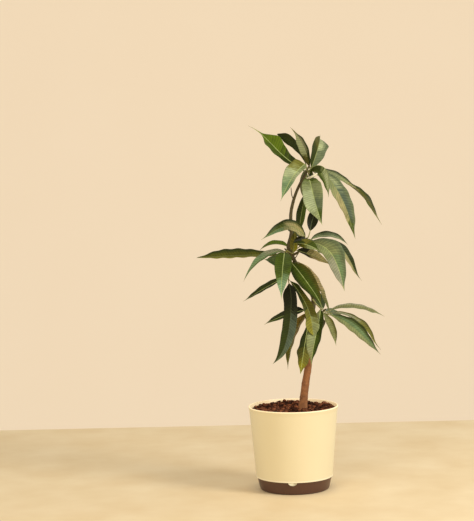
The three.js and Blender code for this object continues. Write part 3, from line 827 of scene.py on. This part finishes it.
def leaf_spine(leaf):
    """Places along the midrib, and the shares of its length at which they lie."""
    length = leaf["size"][0]
    fine = np.linspace(0, 1, SPINE_STEPS + 1)
    steps = directions(leaf, (fine[1:] + fine[:-1]) / 2) * length / SPINE_STEPS
    return np.concatenate([[leaf["at"]], leaf["at"] + np.cumsum(steps, axis=0)]), fine


def blade_height(leaf, fold, out, wide, shares, starts, veins, phase):
    """Height of a column over the midrib: the fold, the margin's wave and the swell between veins."""
    length, width = leaf["size"]
    full = np.minimum(1, wide / (width / 2))
    lift = wide * math.sin(fold) * out * (1 + LEAF_ARCH - LEAF_ARCH * out)
    wave = width * leaf.get("wave", WAVE_SHARE) * full * out**2
    wave = wave * np.sin(2 * math.pi * length / WAVE_LENGTH * shares + phase)
    swell = leaf.get("relief", VEIN_RELIEF) * full * 4 * out * (1 - out)
    return lift + wave - swell * np.cos(2 * math.pi * starts * veins)


def leaf_skins(leaf, starts, veins, phases):
    """The upper and the lower skin, in columns from the right margin to the left one."""
    length = leaf["size"][0]
    spine, fine = leaf_spine(leaf)
    fold = math.radians(leaf.get("fold", LEAF_FOLD))
    upper, lower = [], []
    for column, reach in enumerate(REACHES):
        side = int(column >= MIDRIB)
        middle = column == MIDRIB
        shares = np.minimum(1, starts + VEIN_SLANT * reach * half_width(leaf, side, starts) / length)
        wide = half_width(leaf, side, shares)
        rib = np.minimum(mixed(RIB_HALF, shares), wide * RIB_MOST) * leaf.get("rib_width", 1)
        across = 0 * wide if middle else (-1, 1)[side] * (rib + (wide - rib) * reach)
        out = np.abs(across) / wide
        place = np.stack([np.interp(shares, fine, spine[:, axis]) for axis in range(3)], axis=1)
        along = directions(leaf, shares)
        facing = unit(VIEW - along * (along @ VIEW)[:, None])
        roll = np.radians(turning(leaf.get("roll", 0), shares))[:, None]
        up = facing * np.cos(roll) + np.cross(facing, along) * np.sin(roll)
        flat = place + np.cross(up, along) * (across * math.cos(fold))[:, None]
        height = blade_height(leaf, fold, out, wide, shares, starts, veins, phases[side])
        thick = mixed(LEAF_THICK, out) / 2
        ridge = np.minimum(1, wide / RIB_FULL) * middle
        upper.append(flat + up * (height + thick + RIB_RAISE[0] * ridge)[:, None])
        lower.append(flat + up * (height - thick - RIB_RAISE[1] * ridge)[:, None])
    return np.concatenate([np.stack(skin, axis=1).reshape(-1, 3) for skin in (upper, lower)])


def skin_faces(leaf, starts, rng):
    """The faces of both skins and of the margins that join them, each with its look."""
    rows, count = len(starts), len(REACHES)
    below = rows * count
    rib_look = leaf.get("rib", "pale")
    faces = []
    for row in range(rows - 1):
        share = (starts[row] + starts[row + 1]) / 2
        stripe = row % len(STRIPES)
        if stripe == 0:
            strays = rng.uniform(-BLUR[0], BLUR[0], 2)
        for column in range(count - 1):
            side = int(column >= MIDRIB)
            spot = share + strays[side] + rng.uniform(-BLUR[1], BLUR[1])
            top = top_look(leaf, side, spot, min(column, count - 2 - column), stripe)
            ribbed = column in (MIDRIB - 1, MIDRIB)
            if ribbed and rib_look != "none":
                top = "rib_" + rib_look
            a = row * count + column
            b, c, d = a + 1, a + 1 + count, a + count
            faces.append(((a, b, c, d), top))
            under = "rib_soft" if ribbed else under_look(leaf, spot, stripe)
            faces.append(((below + d, below + c, below + b, below + a), under))
        for a, outward in ((row * count, 1), (row * count + count - 1, -1)):
            faces.append(((a, a + count, below + a + count, below + a)[::outward], "rib_soft"))
    for row, outward in ((0, 1), (rows - 1, -1)):
        for a in range(row * count, row * count + count - 1):
            faces.append(((a, below + a, below + a + 1, a + 1)[::outward], "rib_soft"))
    return faces


def add_leaf(piece, leaf, number):
    """One blade: an upper and a lower skin, with rows along the side veins and a raised midrib."""
    rng = np.random.default_rng(number)
    starts, veins = leaf_rows(leaf["size"][0])
    verts = leaf_skins(leaf, starts, veins, rng.uniform(0, 2 * math.pi, 2))
    piece.add(verts, *zip(*skin_faces(leaf, starts, rng)))


def add_stalk(piece, leaf, stem, share):
    """The leaf's stalk, with a swollen heel, from the stem's centre to the blade."""
    start, end = stem.at(share), np.array(leaf["at"], float)
    into = directions(leaf, 0)
    span = np.linalg.norm(end - start)
    off = start + (end - start) * STALK_BEND["way"] + stem.along(share) * span * STALK_BEND["rise"]
    shares = np.linspace(0, 1, STALK_STEPS)[:, None]
    places = bezier(start, off, end - into * span * STALK_BEND["lead"], end, shares)
    places = np.concatenate([places, [end + into * STALK_END["into"]]])
    run = np.append(shares[:, 0], 1)
    radii = mixed(STALK_RADIUS, run) * (1 + STALK_SWELL * np.exp(-((run / STALK_HEEL) ** 2)))
    radii[-1] = STALK_END["radius"]
    piece.add(*tube(places, radii, STALK_SIDES), leaf.get("stalk", "stalk"))


def add_bud(piece, stem):
    """The pointed bud that ends a shoot."""
    shares = np.linspace(0, 1, BUD["steps"])
    places = stem.at(1) + np.outer(shares * BUD["length"] - BUD["sunk"], stem.along(1))
    taper = np.sqrt(np.maximum(BUD["least"], 1 - shares ** BUD["blunt"]))
    radii = BUD["radius"] * taper * (BUD["belly"][0] + BUD["belly"][1] * np.sin(shares * math.pi))
    piece.add(*tube(places, radii, STALK_SIDES), "green_bark")


# ---- Turned pieces ----
def rounded(outline, radius):
    """The outline with each inner corner replaced by a small curve."""
    points = [np.array(point, float) for point in outline]
    smooth = [points[0]]
    for before, corner, after in zip(points, points[1:], points[2:]):
        room = min(np.linalg.norm(before - corner), np.linalg.norm(after - corner))
        near = min(radius, room / ROUNDING_ROOM)
        start, end = corner + unit(before - corner) * near, corner + unit(after - corner) * near
        for t in np.linspace(0, 1, ROUNDING_STEPS):
            smooth.append((1 - t) ** 2 * start + 2 * t * (1 - t) * corner + t**2 * end)
    smooth.append(points[-1])
    return smooth


def turned(outline):
    """Revolves an outline of (radius, height) that starts and ends on the axis."""
    rows = [ring(radius, around(ROUND_SIDES), height) for radius, height in outline[1:-1]]
    ends = [[(0, 0, outline[0][1])], [(0, 0, outline[-1][1])]]
    return np.concatenate(rows + ends), capped(len(rows), ROUND_SIDES)


def pot_radius(z):
    return mixed((SKIRT_RADIUS, RIM_RADIUS - BEAD_PROUD), (z - SKIRT_Z) / (RIM_Z - SKIRT_Z))


def pot_look(corners):
    """The look of one face of the pot: its rim band and inner wall take a paler, glowing cream, a painted
    highlight and painted light, and its lip a paler cream, a painted highlight.
    """
    x, y, z = corners.T
    if SKIRT_Z < max(z) < SKIRT_Z + 2 * LIP_HEIGHT:
        return "cream_lip"
    inside = min(z) > SKIRT_Z + 1 and all(np.hypot(x, y) < pot_radius(z) - POT_WALL / 2)
    return "cream_rim" if inside or min(z) > RIM_Z - RIM_BAND else "cream_plastic"


def make_pot():
    bead_z = RIM_Z - BEAD_HEIGHT
    floor_z = SKIRT_Z + POT_WALL
    outline = [
        (0, SKIRT_Z + GAP),
        (pot_radius(floor_z) - POT_WALL - UNDERSIDE_INSET, SKIRT_Z + GAP),
        (SKIRT_RADIUS - POT_WALL, SKIRT_Z),
        (SKIRT_RADIUS + LIP_PROUD, SKIRT_Z),
        (SKIRT_RADIUS + LIP_PROUD, SKIRT_Z + LIP_HEIGHT),
        (pot_radius(SKIRT_Z + 2 * LIP_HEIGHT), SKIRT_Z + 2 * LIP_HEIGHT),
        (pot_radius(bead_z - BEAD_HEIGHT), bead_z - BEAD_HEIGHT),
        (RIM_RADIUS, RIM_Z - BEAD_HEIGHT / 2),
        (RIM_RADIUS, RIM_Z),
        (RIM_RADIUS - POT_WALL, RIM_Z),
        (pot_radius(floor_z) - POT_WALL, floor_z),
        (0, floor_z),
    ]
    verts, faces = turned(rounded(outline, POT_ROUNDING))
    piece = Piece()
    piece.add(verts, faces, [pot_look(verts[list(face)]) for face in faces])
    add_tab(piece)
    looks = ready("cream_plastic", "cream_lip", "cream_rim")
    # painted light: a glow that brightens the rim band and the inner wall where they lie in shade
    add_glow(looks["cream_rim"], *RIM_PAINTED_GLOW)
    piece.build("pot_shell", looks, ["pot"])


def add_tab(piece):
    """The rounded overflow tab that hangs under the skirt."""
    turns = np.linspace(0, math.pi, TAB_STEPS)
    rows = []
    for proud, share in ((TAB_ROOT, 1), (TAB_PROUD - TAB_BEVEL, 1), (TAB_PROUD, TAB_FACE)):
        across = TAB_RADIUS * share * np.cos(turns)
        drop = TAB_TOP - TAB_DROP * share * np.sin(turns)
        radius = SKIRT_RADIUS + proud + drop * TAB_LEAN
        rows.append(ring(radius, math.radians(TAB_TURN - 90) + across / SKIRT_RADIUS, SKIRT_Z + drop))
    count = len(turns)
    faces = [face for face in wrapped(len(rows), count) if face[0] % count != count - 1]
    faces.append(tuple(range(2 * count, 3 * count))[::-1])
    faces.append(tuple(range(count)))
    for row in range(2):
        faces.append((row * count, (row + 1) * count, (row + 2) * count - 1, (row + 1) * count - 1))
    piece.add(np.concatenate(rows), faces, "cream_plastic")


def make_tray():
    edge = [
        (TRAY_FOOT_RADIUS - TRAY_EDGE * (1 - math.sin(turn)), TRAY_EDGE * (1 - math.cos(turn)))
        for turn in np.linspace(0, math.pi / 2, FOOT_STEPS)
    ]
    outline = [
        (0, 0),
        *edge,
        (TRAY_TOP_RADIUS, SKIRT_Z - GAP),
        (TRAY_TOP_RADIUS - TRAY_WALL, SKIRT_Z - GAP),
        (TRAY_FOOT_RADIUS - TRAY_WALL, TRAY_WALL),
        (0, TRAY_WALL),
    ]
    piece = Piece()
    piece.add(*turned(rounded(outline, TRAY_ROUNDING)), "brown_plastic")
    piece.build("tray_cup", ready("brown_plastic"), ["tray"])


# ---- Potting mix ----
def mound_height(x, y):
    """Height of the mix: low at the front, heaped at the back right."""
    across, deep, aslant = MOUND_BEATS
    waves = np.sin(x * across + 1) * np.cos(y * deep) + np.sin((x + y) * aslant + 2)
    heap = np.clip((x * MOUND_LEAN + y) / RIM_RADIUS, -1, 1)
    return SOIL_Z + MOUND * (MOUND_WAVES * waves + MOUND_HEAP * heap)


def add_mound(piece, edge, rng):
    """The rough top of the mix, and a straight side under it."""
    turns = around(MOUND_SIDES)
    rows = []
    for share in np.linspace(1, MOUND_CENTRE, MOUND_RINGS):
        x, y = edge * share * np.cos(turns), edge * share * np.sin(turns)
        z = mound_height(x, y) + rng.normal(0, MOUND_GRIT, MOUND_SIDES)
        rows.append(np.stack([x, y, z], axis=1))
    low = rows[0] * (1, 1, 0) + (0, 0, SOIL_Z - MIX_DEPTH)
    faces = wrapped(len(rows) + 1, MOUND_SIDES)
    faces.append(tuple(range(MOUND_SIDES))[::-1])
    top = len(rows) * MOUND_SIDES
    faces.append(tuple(range(top, top + MOUND_SIDES)))
    piece.add(np.concatenate([low, *rows]), faces, "potting_mix")


def make_soil():
    rng = np.random.default_rng(SEED)
    edge = pot_radius(SOIL_Z) - POT_WALL - MIX_GAP
    piece = Piece()
    add_mound(piece, edge, rng)
    placed = 0
    while placed < CHIP_COUNT:
        size = mixed(CHIP_SIZE, rng.random() ** CHIP_SMALLNESS)
        x, y = rng.uniform(-edge, edge, 2)
        at_wall = math.hypot(x, y) > edge - size * CHIP_REACH
        if at_wall or math.hypot(x - FOOT[0], y - FOOT[1]) < TRUNK_CLEAR:
            continue
        add_chip(piece, (x, y, mound_height(x, y) + size * CHIP_LIFT), size, rng)
        placed += 1
    looks = ready("potting_mix")
    for number, colour in enumerate(CHIPS):
        looks[f"chip_{number}"] = shaded(f"chip_{number}", colour, **CHIP)
    piece.build("potting_mix", looks, ["soil"])


def add_chip(piece, place, size, rng):
    """A rough little block of bark or coco husk."""
    corners = np.array([(x, y, z) for x in (-1, 1) for y in (-1, 1) for z in (-1, 1)], float)
    corners *= rng.uniform(*CHIP_CORNERS, corners.shape)
    corners *= size / 2 * np.array([CHIP_LENGTH, rng.uniform(*CHIP_WIDTH), rng.uniform(*CHIP_HEIGHT)])
    turn = Matrix.Rotation(rng.uniform(0, TURN), 3, "Z") @ Matrix.Rotation(rng.normal(0, CHIP_TILT), 3, "X")
    verts = corners @ np.array(turn).T + place
    faces = [(0, 1, 3, 2), (4, 6, 7, 5), (0, 4, 5, 1), (2, 3, 7, 6), (0, 2, 6, 4), (1, 5, 7, 3)]
    piece.add(verts, faces, f"chip_{rng.integers(len(CHIPS))}")


# ---- The tree ----
def make_tree():
    looks = ready("bark", "green_bark")
    for name, colour in STALKS.items():
        looks[name] = shaded(name, colour, **STALK)
    make_crown(make_limbs(looks), looks)


def make_limbs(looks):
    """The trunk, leaders and shoot as one piece, and their centre lines for what grows on them."""
    limbs = {}
    wood = Piece()
    for name, spec in LIMBS.items():
        limbs[name] = (spec, line_of(spec, limbs))
        add_limb(wood, name, limbs[name], limbs, "bark" if name == "trunk" else "green_bark")
    wood.build("wood", looks, list(LIMBS))
    return limbs


def make_crown(limbs, looks):
    """The leaves, a piece for each mass, and their stems, stalks and buds as one more piece."""
    leaf_looks = LeafLooks()
    twigs = Piece()
    random = seeded(SEED)
    number = 0
    for name, spec in STEMS.items():
        stem = line_of(spec, limbs)
        add_limb(twigs, name, (spec, stem), limbs, "green_bark")
        add_bud(twigs, stem)
        behind = [leaf_behind(front, stem, random) for front in BEHIND_FRONTS.get(name, ())]
        leaves = LEAVES[name] + behind
        blades = Piece()
        for index, leaf in enumerate(leaves):
            add_stalk(twigs, leaf, stem, mixed(STALKS_FROM, index / len(leaves)))
            add_leaf(blades, leaf, number)
            number += 1
        blades.build("leaves_" + name, leaf_looks, [name])
    shares = np.linspace(0, 1, STALK_STEPS)
    for stalk in LOOSE_STALKS:
        places = [Line(stalk["line"]).at(share) for share in shares]
        twigs.add(*tube(places, mixed(stalk["radius"], shares), STALK_SIDES), stalk["look"])
    twigs.build("twigs", looks)


# ---- Stage ----
def make_stage():
    looks = ready("floor", "wall")
    add_glow(looks["wall"], *WALL_GLOW)
    add_backdrop("floor", [(x, y, FLOOR_Z) for x, y in oblong((-STAGE_HALF, FLOOR_BACK))], looks)
    add_backdrop("wall", [(x, WALL_AT, z) for x, z in oblong(WALL_HEIGHTS)], looks)
    world = bpy.data.worlds.new("world")
    world.use_nodes = True
    preset(world.node_tree.nodes["Background"], WORLD)
    bpy.context.scene.world = world
    for name, light in LIGHTS.items():
        add_light(name, light)


def oblong(span):
    """Corners of an oblong as wide as the stage."""
    low, high = span
    return [(-STAGE_HALF, low), (STAGE_HALF, low), (STAGE_HALF, high), (-STAGE_HALF, high)]


def add_backdrop(name, corners, looks):
    mesh = bpy.data.meshes.new(name)
    mesh.from_pydata(corners, [], [(0, 1, 2, 3)])
    mesh.materials.append(looks[name])
    linked(name, mesh)


def add_light(name, light):
    data = bpy.data.lights.new(name, "AREA")
    data.shape = "DISK"
    data.size = light["size"]
    data.energy = light["power"]
    data.color = light["colour"]
    lamp = linked(name, data)
    lamp.location = light["at"]
    aim = Vector(AIM) - Vector(light["at"])
    lamp.rotation_euler = aim.to_track_quat("-Z", "Y").to_euler()


make_camera()
make_stage()
make_tree()
make_pot()
make_tray()
make_soil()
bpy.context.scene.view_settings.view_transform = "Standard"
